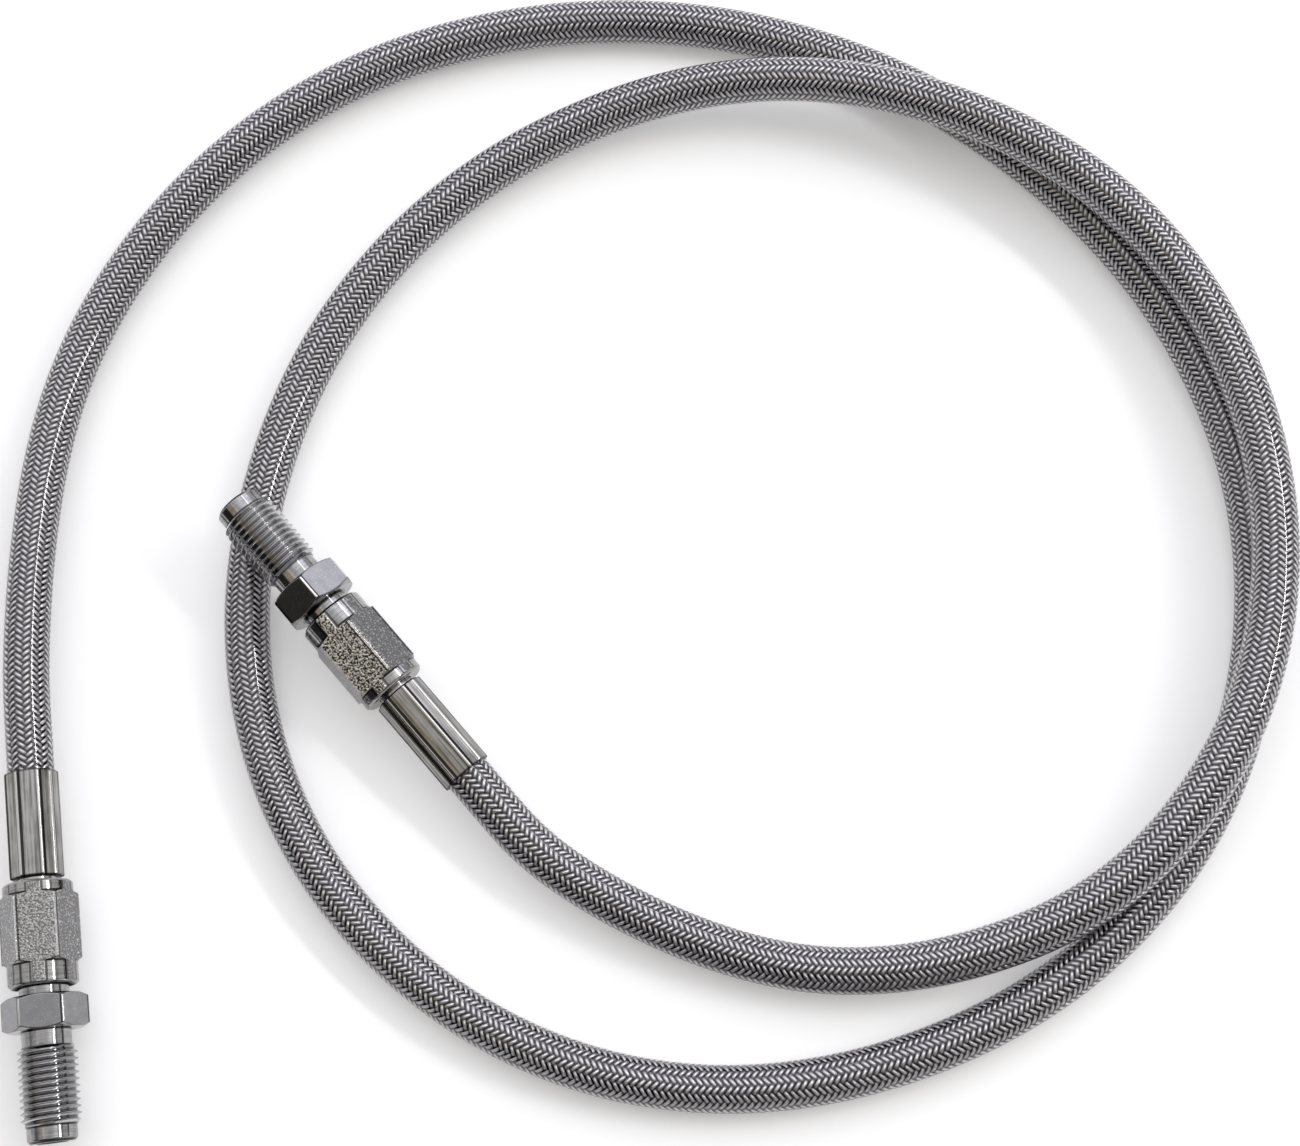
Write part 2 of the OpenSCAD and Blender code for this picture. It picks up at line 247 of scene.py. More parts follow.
crossing_turn = math.pi / CARRIERS_EACH_WAY
braid_length = along_b - along_a + 2 * HOSE_INSERT
repeat_length = braid_length / REPEATS
crossing_step = repeat_length / 4
braid_mid_r = BRAID_R - HUMP
lay = math.atan2(crossing_turn * braid_mid_r, crossing_step)


def rise(crossing):
    """From 1 where a bundle passes over two others to -1 where it passes under two."""
    wave = math.cos((crossing - 0.5) * math.pi / 2)
    return math.tanh(1.2 * wave) / math.tanh(1.2)


def carry_loop(shape, ring, loop):
    """Extrudes a closed loop of edges, and gives back the new verts and edges in order."""
    grown = bmesh.ops.extrude_edge_only(shape, edges=loop)["geom"]
    new_verts = {v for v in grown if isinstance(v, bmesh.types.BMVert)}
    partner = {}
    for vert in new_verts:
        for edge in vert.link_edges:
            if edge.other_vert(vert) not in new_verts:
                partner[edge.other_vert(vert)] = vert
    new_edges = [
        e for e in grown
        if isinstance(e, bmesh.types.BMEdge) and all(v in new_verts for v in e.verts)
    ]
    return [partner[vert] for vert in ring], new_edges


def bundle_repeat():
    """One over-and-under repeat of one bundle, an open-ended ribbon laid on its helix."""
    shape = bmesh.new()
    ring = [shape.verts.new((0, across, depth)) for across, depth in SECTION]
    loop = [shape.edges.new((a, b)) for a, b in zip(ring, ring[1:] + ring[:1])]
    rings = [ring]
    for _ in STATIONS[1:]:
        ring, loop = carry_loop(shape, ring, loop)
        rings.append(ring)
    bundle = shape.loops.layers.uv.new("bundle")
    spot = {}
    for place, ring in zip(STATIONS, rings):
        for vert in ring:
            sideways = vert.co.y * BUNDLE_W / 2
            spot[vert] = (place / 4, (vert.co.y + 1) / 2)
            turn = place * crossing_turn + sideways * math.cos(lay) / braid_mid_r
            r = braid_mid_r + HUMP * rise(place) + vert.co.z * MM
            vert.co = (
                place * crossing_step - sideways * math.sin(lay),
                r * math.sin(turn),
                r * math.cos(turn),
            )
    for face in shape.faces:
        for corner in face.loops:
            corner[bundle].uv = spot[corner.vert]
    bmesh.ops.recalc_face_normals(shape, faces=shape.faces)
    return shape


def braid_bundles(name, eighths, hand):
    """Four bundles of one hand, two at each of the given eighths of a turn round the hose."""
    shape = bundle_repeat()
    unit = list(shape.verts) + list(shape.edges) + list(shape.faces)
    for eighth in eighths:
        for half_repeat in (0, 1):
            copied = bmesh.ops.duplicate(shape, geom=unit)["geom"]
            verts = [v for v in copied if isinstance(v, bmesh.types.BMVert)]
            turn = Matrix.Rotation(-eighth * math.radians(45), 3, "X")
            bmesh.ops.rotate(shape, verts=verts, matrix=turn)
            bmesh.ops.translate(shape, verts=verts, vec=(-half_repeat * repeat_length / 2, 0, 0))
    bmesh.ops.delete(shape, geom=unit, context="VERTS")
    if hand < 0:
        bmesh.ops.scale(shape, verts=shape.verts, vec=(1, -1, 1))
        bmesh.ops.rotate(shape, verts=shape.verts, matrix=Matrix.Rotation(crossing_turn, 3, "X"))
        bmesh.ops.translate(shape, verts=shape.verts, vec=(crossing_step, 0, 0))
        bmesh.ops.reverse_faces(shape, faces=shape.faces)
    bmesh.ops.translate(shape, verts=shape.verts, vec=(along_a - HOSE_INSERT, 0, 0))
    piece = new_piece(name, shape)
    next_repeat = bpy.data.objects.new(name + "_step", None)
    scene.collection.objects.link(next_repeat)
    next_repeat.matrix_world = (
        Matrix.Translation((repeat_length, 0, 0))
        @ Matrix.Rotation(-hand * math.radians(45), 4, "X")
    )
    bpy.context.view_layer.update()
    rows = piece.modifiers.new("rows", "ARRAY")
    rows.use_relative_offset = False
    rows.use_object_offset = True
    rows.offset_object = next_repeat
    rows.count = REPEATS
    rows.use_merge_vertices = True
    rows.merge_threshold = MM / 100
    rows.offset_u = 1
    bend_to_line(piece)
    bpy.data.objects.remove(next_repeat)
    shape = bmesh.new()
    shape.from_mesh(piece.data)
    bmesh.ops.holes_fill(shape, edges=shape.edges, sides=len(SECTION))
    shape.to_mesh(piece.data)
    shape.free()
    return piece


def feed(tree, socket, value):
    """Links a socket to another, or sets it to a plain value."""
    if isinstance(value, bpy.types.NodeSocket):
        tree.links.new(value, socket)
    elif value is not None:
        socket.default_value = value


def math_node(tree, operation, first, second=None, third=None):
    """One step of arithmetic on up to three values or sockets."""
    node = tree.nodes.new("ShaderNodeMath")
    node.operation = operation
    for socket, value in zip(node.inputs, (first, second, third)):
        feed(tree, socket, value)
    return node.outputs[0]


def ramp_between(tree, value, low, high, at_low=0.0, at_high=1.0):
    """A value that eases from one figure to another as its source goes from low to high."""
    node = tree.nodes.new("ShaderNodeMapRange")
    node.interpolation_type = "SMOOTHSTEP"
    limits = {"From Min": low, "From Max": high, "To Min": at_low, "To Max": at_high}
    for name, figure in limits.items():
        node.inputs[name].default_value = figure
    feed(tree, node.inputs["Value"], value)
    return node.outputs["Result"]


def mix_colours(tree, factor, first, second):
    """Goes from the first colour to the second as the factor goes from 0 to 1."""
    node = tree.nodes.new("ShaderNodeMix")
    node.data_type = "RGBA"
    feed(tree, node.inputs["Factor"], factor)
    feed(tree, node.inputs[6], first)
    feed(tree, node.inputs[7], second)
    return node.outputs[2]


def raise_bumps(tree, bsdf, height, strength, distance):
    """Adds relief too fine for the mesh, its full height given in metres."""
    bump = tree.nodes.new("ShaderNodeBump")
    bump.inputs["Strength"].default_value = strength
    bump.inputs["Distance"].default_value = distance
    tree.links.new(height, bump.inputs["Height"])
    tree.links.new(bump.outputs["Normal"], bsdf.inputs["Normal"])


# Painted shade for the braid's gaps, and the wire's grey for its crowns
GAP_PAINTED_SHADE = (0.03, 0.029, 0.028, 1)
WIRE_GREY = (0.88, 0.86, 0.87, 1)
WIRES_SEEN = 6


def braided_wire():
    """Bright drawn wire, with painted shade at each bundle's edges and where it passes under."""
    material, tree, bsdf = new_material("braided_wire", Metallic=1.0, Roughness=0.29)
    link = tree.links.new
    uv = tree.nodes.new("ShaderNodeUVMap")
    uv.uv_map = "bundle"
    parts = tree.nodes.new("ShaderNodeSeparateXYZ")
    link(uv.outputs["UV"], parts.inputs["Vector"])
    # How near the middle of the bundle, from 0 at its edges to 0.5
    across = math_node(tree, "PINGPONG", parts.outputs["Y"], 0.5)
    # From 1 on the crown of each pass over to -1 in the middle of each pass under
    phase = math_node(tree, "MULTIPLY_ADD", parts.outputs["X"], math.tau, -math.tau / 8)
    crown = ramp_between(tree, math_node(tree, "COSINE", phase), -0.3, 0.75)
    # Painted shade: darker toward each bundle's edges and where it passes under the others
    lit = math_node(tree, "MULTIPLY", ramp_between(tree, across, 0.03, 0.26), crown)
    link(mix_colours(tree, lit, GAP_PAINTED_SHADE, WIRE_GREY), bsdf.inputs["Base Color"])
    # The bundle's wires, side by side
    sideways = math_node(tree, "MULTIPLY", parts.outputs["Y"], WIRES_SEEN * math.tau)
    wires = math_node(tree, "SINE", sideways)
    raise_bumps(tree, bsdf, wires, 0.15, 0.02 * MM)
    return material


bundle_wire = braided_wire()
for hand, word in ((1, "right"), (-1, "left")):
    for quarter in range(4):
        bundles = braid_bundles(
            f"braid_{word}_{quarter + 1}", (2 * quarter, 2 * quarter + 1), hand,
        )
        finish_with(bundles, bundle_wire)
        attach(bundles, "hose")
        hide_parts("hose_braid")


# ---- Cover ---------------------------------------------------------------------------
# A clear jacket of soft plastic, extruded over the braid so that it fills round the wires.
# It stops a short way inside each ferrule, where the crimp holds the braid directly.
COVER_R = 3.8 * MM
COVER_INSERT = 2.4 * MM
# Keeps the jacket's inner face just off the inner tube
LINER_GAP = 0.02 * MM

clear_jacket, *_ = new_material(
    "clear_jacket", Base_Color=(0.93, 0.92, 0.95, 1), Roughness=0.04, IOR=1.46,
    Transmission_Weight=1.0, Coat_Weight=0.4, Coat_Roughness=0.03,
)
cover = new_piece(
    "clear_cover", straight_tube(along_a - COVER_INSERT, along_b + COVER_INSERT, COVER_R, 40),
)
add_wall(cover, COVER_R - LINER_R - LINER_GAP)
bend_to_line(cover)
finish_with(cover, clear_jacket)
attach(cover, "hose")
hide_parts("hose_cover")


# ---- Stems ---------------------------------------------------------------------------
# Turned inserts. Each is barbed inside the hose, gripped by the ferrule, and shows only
# as a short neck between the ferrule and the nut.
def place_on_fitting(mouth, direction):
    """Takes a piece's own +Z, from the ferrule's mouth, to its fitting's line."""
    return (
        Matrix.Translation(mouth)
        @ Matrix.Rotation(math.atan2(direction.y, direction.x), 4, "Z")
        @ Matrix.Rotation(math.acos(direction.z), 4, "Y")
    )


FITTINGS = {"a": place_on_fitting(mouth_a, dir_a), "b": place_on_fitting(mouth_b, dir_b)}


def fitting_frame(tree, end, turn=0):
    """Coordinates in metres from a ferrule's mouth, along and across its fitting."""
    place = FITTINGS[end] @ Matrix.Rotation(math.radians(turn), 4, "Z")
    spot = tree.nodes.new("ShaderNodeTexCoord")
    frame_of = tree.nodes.new("ShaderNodeMapping")
    frame_of.vector_type = "TEXTURE"
    frame_of.inputs["Location"].default_value = place.to_translation()
    frame_of.inputs["Rotation"].default_value = place.to_euler()
    tree.links.new(spot.outputs["Object"], frame_of.inputs["Vector"])
    return frame_of.outputs["Vector"]


def noise(tree, vector, scale, detail, stretch=(1, 1, 1)):
    """Fractal noise, drawn out along the axes whose stretch is small."""
    scaled = tree.nodes.new("ShaderNodeVectorMath")
    scaled.operation = "MULTIPLY"
    scaled.inputs[1].default_value = stretch
    tree.links.new(vector, scaled.inputs[0])
    node = tree.nodes.new("ShaderNodeTexNoise")
    node.inputs["Scale"].default_value = scale
    node.inputs["Detail"].default_value = detail
    tree.links.new(scaled.outputs["Vector"], node.inputs["Vector"])
    return node.outputs["Fac"]


def new_group(name, inputs, outputs):
    """A shader node group, with the sockets inside it that it takes in and gives out."""
    group = bpy.data.node_groups.new(name, "ShaderNodeTree")
    for socket, kind in inputs.items():
        group.interface.new_socket(socket, in_out="INPUT", socket_type="NodeSocket" + kind)
    for socket in outputs:
        group.interface.new_socket(socket, in_out="OUTPUT", socket_type="NodeSocketFloat")
    given = group.nodes.new("NodeGroupInput")
    result = group.nodes.new("NodeGroupOutput")
    return group, given.outputs, result.inputs


def place_group(tree, group, *values):
    """Places a group in a material, fed in the order of its inputs, and gives its outputs."""
    node = tree.nodes.new("ShaderNodeGroup")
    node.node_tree = group
    for socket, value in zip(node.inputs, values):
        feed(tree, socket, value)
    return node.outputs


def tool_mark_group():
    """Fine rings left by a lathe tool round a fitting's line, as a shade and a height."""
    group, given, result = new_group(
        "tool_marks", {"Along fitting": "Vector"}, ("Shade", "Height"),
    )
    rings = noise(group, given["Along fitting"], 60, 2, (1, 1, 150))
    patch = noise(group, given["Along fitting"], 700, 3)
    half_patch = math_node(group, "MULTIPLY", patch, 0.5)
    feed(group, result["Shade"], math_node(group, "MULTIPLY_ADD", rings, 0.5, half_patch))
    feed(group, result["Height"], rings)
    return group


tool_marks = tool_mark_group()


def shade_ramp(tree, value, dark, light, low=0.35, high=0.65):
    """Goes from a dark to a light grey, each given as its red, green and blue."""
    amount = ramp_between(tree, value, low, high)
    return mix_colours(tree, amount, (*dark, 1), (*light, 1))


STEM_GREYS = ((0.3, 0.295, 0.29), (0.5, 0.49, 0.48))


def stem_metal(end):
    """Bright steel with the rings of its turning."""
    material, tree, bsdf = new_material("turned_stem_" + end, Metallic=1.0, Roughness=0.16)
    shade, height = place_group(tree, tool_marks, fitting_frame(tree, end))
    colour = shade_ramp(tree, shade, *STEM_GREYS)
    tree.links.new(colour, bsdf.inputs["Base Color"])
    raise_bumps(tree, bsdf, height, 0.12, 0.02 * MM)
    return material


for end in FITTINGS:
    finish_with(nodes["stem_" + end], stem_metal(end))


# ---- Ferrules ------------------------------------------------------------------------
# Sleeves of plated steel, pressed onto the hose between dies. Each die leaves a lengthwise
# flat with fine scores, and metal squeezed up between two dies stands as a narrow ridge.
# The fittings' sizes are in millimetres, and their heights start at the ferrule's mouth
FERRULE_L = 17.5
FERRULE_R = 4.35
FERRULE_ROUND = 0.45
RIDGE_FOOT_R = 4.16
# Half angles, in degrees, of a ridge's foot and of its top
RIDGE_FOOT = 5.4
RIDGE_TOP = 2.2
# How flat a die leaves the metal between two ridges: 1 is flat, 0 is round
FLAT_BOW = 0.6
# Angles of the ridges round each fitting's line
RIDGES = {
    "a": [27, 72, 117, 149, 198, 245, 297, 342],
    "b": [2, 47, 88, 129, 149, 196, 227, 272, 317],
}
# Which way round each fitting the wider painted shade lies beside its ridge
SHADED_CREASE_SIDE = {"a": -1, "b": 1}
COVER_BORE = 3.86
BRAID_BORE = 3.62
NECK_HOLE = 2.76
END_WALL_Z = 15.6
COVER_STOP_Z = 2.6
EASE_STEPS = 4


def eased(outline):
    """An outline of (radius, height, ease) corners, with each corner rounded by its ease."""
    points = []
    befores = outline[-1:] + outline[:-1]
    afters = outline[1:] + outline[:1]
    for before, here, after in zip(befores, outline, afters):
        corner = Vector(here[:2])
        ends = []
        for other in (before, after):
            way = Vector(other[:2]) - corner
            ends.append(corner + way.normalized() * min(here[2], way.length * 0.45))
        for step in range(EASE_STEPS):
            part = step / (EASE_STEPS - 1)
            points.append(
                ends[0] * (1 - part) ** 2 + corner * 2 * part * (1 - part) + ends[1] * part ** 2
            )
    return points


def lofted(angles, outline_at):
    """A closed ring of metal, whose outline in millimetres may change with the angle."""
    columns = [eased(outline_at(angle)) for angle in angles]
    shape = bmesh.new()
    ring = bmesh.ops.create_circle(shape, segments=len(angles), radius=MM)["verts"]
    loop = list(shape.edges)
    levels = len(columns[0])
    for level in range(levels + 1):
        if level:
            ring, loop = carry_loop(shape, ring, loop)
        for vert, angle, column in zip(ring, angles, columns):
            r, z = column[level % levels]
            turn = math.radians(angle)
            vert.co = (r * MM * math.cos(turn), r * MM * math.sin(turn), z * MM)
    bmesh.ops.remove_doubles(shape, verts=shape.verts, dist=MM / 10000)
    bmesh.ops.recalc_face_normals(shape, faces=shape.faces)
    return shape


def finish_metal(piece, end, sharp_from):
    """Keeps flats flat and small roundings smooth, and puts the piece on its fitting."""
    piece.data.set_sharp_from_angle(angle=math.radians(sharp_from))
    even = piece.modifiers.new("even", "WEIGHTED_NORMAL")
    even.keep_sharp = True
    apply_modifiers(piece)
    piece.data.transform(FITTINGS[end])


def crimp_profile(ridges):
    """(angle, radius) round a crimped sleeve: narrow ridges with low, bowed flats between."""
    profile = []
    for ridge, following in zip(ridges, ridges[1:] + [ridges[0] + 360]):
        for side in (-RIDGE_TOP, 0, RIDGE_TOP):
            profile.append((ridge + side, FERRULE_R))
        half = (following - ridge) / 2
        reach = half - RIDGE_FOOT
        hollow = math.radians(FLAT_BOW * reach)
        for part in (-1, -0.6, -0.2, 0.2, 0.6, 1):
            bow = math.cos(hollow) / math.cos(hollow * part)
            profile.append((ridge + half + reach * part, RIDGE_FOOT_R * bow))
    return profile


def ferrule_outline(r):
    return [
        (COVER_BORE, 0, 0.05), (r, 0, FERRULE_ROUND), (r, FERRULE_L, FERRULE_ROUND),
        (NECK_HOLE, FERRULE_L, 0.1), (NECK_HOLE, END_WALL_Z, 0.05), (BRAID_BORE, END_WALL_Z, 0.05),
        (BRAID_BORE, COVER_STOP_Z, 0.05), (COVER_BORE, COVER_STOP_Z, 0.05),
    ]


def within(tree, value, low, high, soft):
    """1 where a value lies between two figures, falling to 0 a little way outside them."""
    off_middle = math_node(
        tree, "ABSOLUTE", math_node(tree, "SUBTRACT", value, (low + high) / 2),
    )
    half = (high - low) / 2
    return ramp_between(tree, off_middle, half, half + soft, 1.0, 0.0)


def turned_to(tree, local):
    """The angle in degrees at which a point lies round the fitting's line."""
    parts = tree.nodes.new("ShaderNodeSeparateXYZ")
    tree.links.new(local, parts.inputs["Vector"])
    radians = math_node(tree, "ARCTAN2", parts.outputs["Y"], parts.outputs["X"])
    return math_node(tree, "DEGREES", radians)


def height_of(tree, local):
    """How far a point lies along its fitting, which is the last of its coordinates."""
    parts = tree.nodes.new("ShaderNodeSeparateXYZ")
    tree.links.new(local, parts.inputs["Vector"])
    return parts.outputs["Z"]


def crimp_ridge_group():
    """Where a ridge's top is, for a painted highlight, and painted shade beside it, wider on one
    side.
    """
    group, given, result = new_group(
        "crimp_ridge",
        {"Turned to": "Float", "Ridge": "Float", "Sense": "Float"},
        ("Top", "Crease"),
    )
    from_ridge = math_node(group, "SUBTRACT", given["Turned to"], given["Ridge"])
    from_ridge = math_node(group, "WRAP", from_ridge, 180, -180)
    offset = math_node(group, "MULTIPLY", from_ridge, given["Sense"])
    wide_shade = within(group, offset, RIDGE_TOP + 1.4, RIDGE_FOOT + 3.2, 1.2)
    thin = within(group, offset, -RIDGE_FOOT - 0.2, -RIDGE_FOOT + 1, 1)
    half_thin = math_node(group, "MULTIPLY", thin, 0.5)
    feed(group, result["Top"], within(group, offset, -RIDGE_TOP - 0.6, RIDGE_TOP - 0.4, 1.2))
    feed(group, result["Crease"], math_node(group, "MAXIMUM", wide_shade, half_thin))
    return group


def die_score_group():
    """Long fine scores and softer smudges that the dies leave on a ferrule's flats."""
    group, given, result = new_group(
        "die_scores", {"Along fitting": "Vector"}, ("Scores", "Smudge"),
    )
    feed(group, result["Scores"], noise(group, given[0], 2600, 3, (1, 1, 0.03)))
    feed(group, result["Smudge"], noise(group, given[0], 420, 3, (1, 1, 0.5)))
    return group


crimp_ridge = crimp_ridge_group()
die_scores = die_score_group()
SCORED_GREYS = ((0.155, 0.151, 0.141), (0.37, 0.362, 0.343))
# Painted highlight along the ridge tops, and painted shade in the creases and at the ends
RIDGE_PAINTED_HIGHLIGHT = (0.55, 0.545, 0.535, 1)
SLEEVE_PAINTED_SHADE = (0.015, 0.014, 0.012, 1)


def ferrule_metal(end, sense):
    """Dull scored flats, polished ridges with a painted highlight, painted shade in creases and at
    ends.
    """
    material, tree, bsdf = new_material("crimped_sleeve_" + end, Metallic=1.0)
    local = fitting_frame(tree, end)
    height = height_of(tree, local)
    angle = turned_to(tree, local)
    tops = creases = 0.0
    for ridge in RIDGES[end]:
        top, crease = place_group(tree, crimp_ridge, angle, ridge, sense)
        tops = math_node(tree, "MAXIMUM", tops, top)
        creases = math_node(tree, "MAXIMUM", creases, crease)
    scores, smudge = place_group(tree, die_scores, local)
    both = math_node(tree, "MULTIPLY_ADD", scores, 0.6, math_node(tree, "MULTIPLY", smudge, 0.4))
    colour = shade_ramp(tree, both, *SCORED_GREYS, 0.38, 0.62)
    # Painted highlight along each ridge's top
    colour = mix_colours(tree, tops, colour, RIDGE_PAINTED_HIGHLIGHT)
    # Painted shade at both ends of the sleeve and in the creases beside the ridges
    mouth = ramp_between(tree, height, 0.1 * MM, 0.5 * MM, 0.8, 0.0)
    shut = ramp_between(tree, height, (FERRULE_L - 0.5) * MM, (FERRULE_L - 0.1) * MM, 0.0, 0.8)
    ends = math_node(tree, "MAXIMUM", mouth, shut)
    painted_shade = math_node(tree, "MAXIMUM", math_node(tree, "MULTIPLY", creases, 0.93), ends)
    colour = mix_colours(tree, painted_shade, colour, SLEEVE_PAINTED_SHADE)
    tree.links.new(colour, bsdf.inputs["Base Color"])
    tree.links.new(ramp_between(tree, tops, 0, 1, 0.29, 0.12), bsdf.inputs["Roughness"])
    raise_bumps(tree, bsdf, scores, 0.25, 0.03 * MM)
    return material


fitting_pieces = {"a": [], "b": []}


def mount_piece(piece, end, material, body, node):
    """Finishes a piece of one fitting and puts it on its body in place of its plain solid."""
    finish_with(piece, material)
    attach(piece, body)
    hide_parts(node)
    fitting_pieces[end].append(piece)


for end in FITTINGS:
    profile = dict(crimp_profile(RIDGES[end]))
    ferrule = new_piece(
        "crimped_ferrule_" + end,
        lofted(list(profile), lambda angle: ferrule_outline(profile[angle])),
    )
    finish_metal(ferrule, end, 55)
    metal = ferrule_metal(end, SHADED_CREASE_SIDE[end])
    mount_piece(ferrule, end, metal, "hose", "ferrule_" + end)


# ---- Swivel nuts ---------------------------------------------------------------------
# Hexagonal bar with a pressed grain on its flats, plated after a collar is turned at each
# end. The collars are barely wider than the flats, so each flat runs out along them.
NUT_Z = 18.2
NUT_L = 16.7
NUT_REAR = 2.4
NUT_FRONT = 4.1
NUT_AF = 11.1
NUT_TURN = {"a": 20, "b": 12}
# Degrees from a corner to where the flat meets the round of the collar
NUT_FLAT_EDGE = 22.34
# Direction, round the fitting's line, of the flat that took the coarsest grain
COARSE_FLAT = {"a": 170, "b": 162}
# The greys that this grain wanders between, in its pits and on its peaks
GRAIN_GREYS = {
    "a": ((0.16, 0.157, 0.15), (0.38, 0.376, 0.368)),
    "b": ((0.04, 0.039, 0.036), (0.8, 0.785, 0.745)),
}
FINE_GREYS = ((0.19, 0.188, 0.189), (0.5, 0.495, 0.5))
COLLAR_GREYS = ((0.23, 0.228, 0.226), (0.4, 0.396, 0.392))
# Painted highlights along the rounded corners of the hexagons, for each end
CORNER_PAINTED_HIGHLIGHTS = {"a": (0.56, 0.56, 0.56, 1), "b": (0.85, 0.85, 0.85, 1)}
# Painted shade in the nut's steps, beside its flats and corners and round its bore
NUT_PAINTED_SHADE = (0.02, 0.019, 0.017, 1)
# The painted shade line beside each corner: its middle and half its width, in degrees
NUT_LINE = (-3.2, 1.0)
COLLAR_R = 5.6
CORNER_ROUND = 0.3
NUT_WALL = 2.4
NUT_HOLE = 3.28
NUT_BORE = 4.21
END_CHAMFER = 0.4
MOUTH_CHAMFER = 0.9
SHOULDER_SLOPE = math.tan(math.radians(30))


def hexagon_angles(turn, flat_edge):
    """Angles round a hexagonal piece, closest together on its rounded corners."""
    half = [0, 0.65, 1.3, 2.6, 5, 10, 16, flat_edge]
    offsets = [-step for step in half[:0:-1]] + half + [30]
    return [turn + 60 * k + offset for k in range(6) for offset in offsets]


def hexagon_radius(across_flats, turn, angle):
    """How far a hexagon with rounded corners reaches at an angle, in millimetres."""
    offset = math.radians(abs((angle - turn + 30) % 60 - 30))
    centre_r = (across_flats / 2 - CORNER_ROUND) / math.cos(math.radians(30))
    tangent = math.atan2(
        CORNER_ROUND / 2, centre_r + CORNER_ROUND * math.cos(math.radians(30)),
    )
    if offset > tangent:
        return across_flats / 2 / math.cos(math.radians(30) - offset)
    across = centre_r * math.sin(offset)
    return centre_r * math.cos(offset) + math.sqrt(CORNER_ROUND ** 2 - across ** 2)


def corner_highlight_r(across_flats):
    """How far out the painted highlight along a rounded corner is centred, in millimetres."""
    return across_flats / math.sqrt(3) - CORNER_ROUND * 0.2


def nut_outline(hex_r):
    """A nut's section where its hexagon reaches a given radius, with a collar at each end."""
    collar = min(hex_r, COLLAR_R)
    full_r = NUT_AF / math.sqrt(3)
    hex_start = NUT_Z + NUT_REAR
    hex_stop = NUT_Z + NUT_L - NUT_FRONT
    end_z = NUT_Z + NUT_L
    drop = (full_r - COLLAR_R) * SHOULDER_SLOPE
    edge = max(drop - (full_r - hex_r) * SHOULDER_SLOPE, 0.02)
    return [
        (NUT_HOLE, NUT_Z, 0.1), (collar - END_CHAMFER, NUT_Z, 0.08),
        (collar, NUT_Z + END_CHAMFER, 0.08), (collar, hex_start - drop, 0.05),
        (hex_r, hex_start - drop + edge, 0.12), (hex_r, hex_stop + drop - edge, 0.12),
        (collar, hex_stop + drop, 0.05), (collar, end_z - END_CHAMFER, 0.08),
        (collar - END_CHAMFER, end_z, 0.08), (NUT_BORE + MOUTH_CHAMFER, end_z, 0.05),
        (NUT_BORE, end_z - 0.8, 0.05), (NUT_BORE, NUT_Z + NUT_WALL, 0.05),
        (NUT_HOLE, NUT_Z + NUT_WALL, 0.05),
    ]


def facing(tree, local, angle):
    """How far a point lies out from the fitting's line in one direction round it."""
    side = tree.nodes.new("ShaderNodeVectorMath")
    side.operation = "DOT_PRODUCT"
    side.inputs[1].default_value = (math.cos(math.radians(angle)), math.sin(math.radians(angle)), 0)
    tree.links.new(local, side.inputs[0])
    return side.outputs["Value"]


def flat_reach(tree, round_hexagon):
    """How far a point lies out from the fitting's line, measured square to the nearest flat."""
    reach = 0.0
    for angle in (30, 90, 150):
        one_pair = math_node(tree, "ABSOLUTE", facing(tree, round_hexagon, angle))
        reach = math_node(tree, "MAXIMUM", reach, one_pair)
    return reach


def radius_of(tree, local):
    """How far a point lies from the fitting's line."""
    across = tree.nodes.new("ShaderNodeVectorMath")
    across.operation = "MULTIPLY"
    across.inputs[1].default_value = (1, 1, 0)
    tree.links.new(local, across.inputs[0])
    length = tree.nodes.new("ShaderNodeVectorMath")
    length.operation = "LENGTH"
    tree.links.new(across.outputs["Vector"], length.inputs[0])
    return length.outputs["Value"]


def hexagon_edge_group():
    """Painted highlights on a hexagonal piece's corners, and painted shade lines beside its flats
    and corners.
    """
    group, given, result = new_group(
        "hexagon_edges",
        {
            "Round hexagon": "Vector", "Half across flats": "Float", "Corner radius": "Float",
            "Collar radius": "Float", "Line angle": "Float", "Line half width": "Float",
        },
        ("Off flat", "Radius", "Corner highlight", "Beside flat", "Beside corner"),
    )
    local = given["Round hexagon"]
    radius = radius_of(group, local)
    off_flat = math_node(group, "SUBTRACT", flat_reach(group, local), given["Half across flats"])
    off_corner = math_node(group, "SUBTRACT", radius, given["Corner radius"])
    off_collar = math_node(group, "SUBTRACT", radius, given["Collar radius"])
    from_corner = math_node(group, "WRAP", turned_to(group, local), 30, -30)
    from_line = math_node(group, "SUBTRACT", from_corner, given["Line angle"])
    from_line = math_node(group, "ABSOLUTE", from_line)
    off_line = math_node(group, "SUBTRACT", from_line, given["Line half width"])
    feed(group, result["Off flat"], off_flat)
    feed(group, result["Radius"], radius)
    feed(group, result["Corner highlight"], ramp_between(group, off_corner, -0.08 * MM, 0.02 * MM))
    feed(group, result["Beside flat"], math_node(
        group, "MULTIPLY",
        within(group, off_flat, -0.13 * MM, -0.08 * MM, 0.03 * MM),
        ramp_between(group, off_collar, -0.2 * MM, -0.1 * MM),
    ))
    feed(group, result["Beside corner"], math_node(
        group, "MULTIPLY",
        ramp_between(group, off_line, 0, 0.5, 1.0, 0.0),
        ramp_between(group, off_corner, -0.4 * MM, -0.3 * MM),
    ))
    return group


def pressed_grain_group():
    """The pits and the fine grain pressed into a nut's flats."""
    group, given, result = new_group(
        "pressed_grain", {"Along fitting": "Vector"}, ("Pits", "Grains"),
    )
    feed(group, result["Pits"], noise(group, given[0], 3100, 2))
    feed(group, result["Grains"], noise(group, given[0], 3300, 1))
    return group


def darkest(tree, *values):
    """The greatest of several amounts of painted shade."""
    most = values[0]
    for value in values[1:]:
        most = math_node(tree, "MAXIMUM", most, value)
    return most


hexagon_edges = hexagon_edge_group()
pressed_grain = pressed_grain_group()


